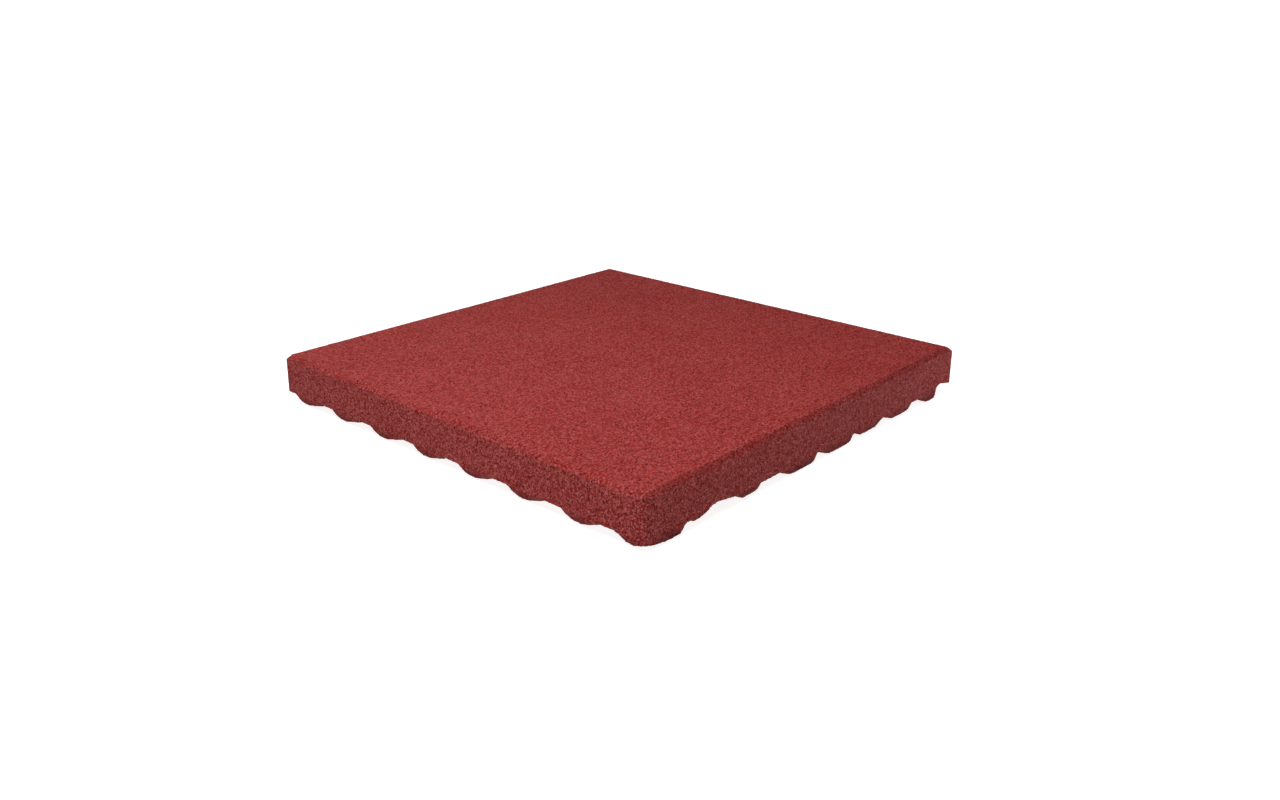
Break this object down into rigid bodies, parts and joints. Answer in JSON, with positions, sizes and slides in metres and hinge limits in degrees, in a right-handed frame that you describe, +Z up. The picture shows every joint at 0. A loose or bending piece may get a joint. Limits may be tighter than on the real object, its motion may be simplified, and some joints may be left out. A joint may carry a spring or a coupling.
{
  "type": "floor tile",
  "caption": "Square tile of bonded rubber crumb with a bevelled upper rim and low round studs underneath, for soft outdoor floors.",
  "frame": {"origin": "middle of the square footprint, on the plane that the studs rest on", "axes": "+Z up through the tile's thickness, X and Y along its sides; the uneven row of studs lies along the -Y side"},
  "size_m": [0.5, 0.5, 0.05],
  "materials": {
    "red_rubber": "bonded rubber crumb dyed brick red, matt and granular, grains of 1 to 3 mm"
  },
  "bodies": {
    "root": {"rubber_tile": "red_rubber"}
  },
  "joints": []
}
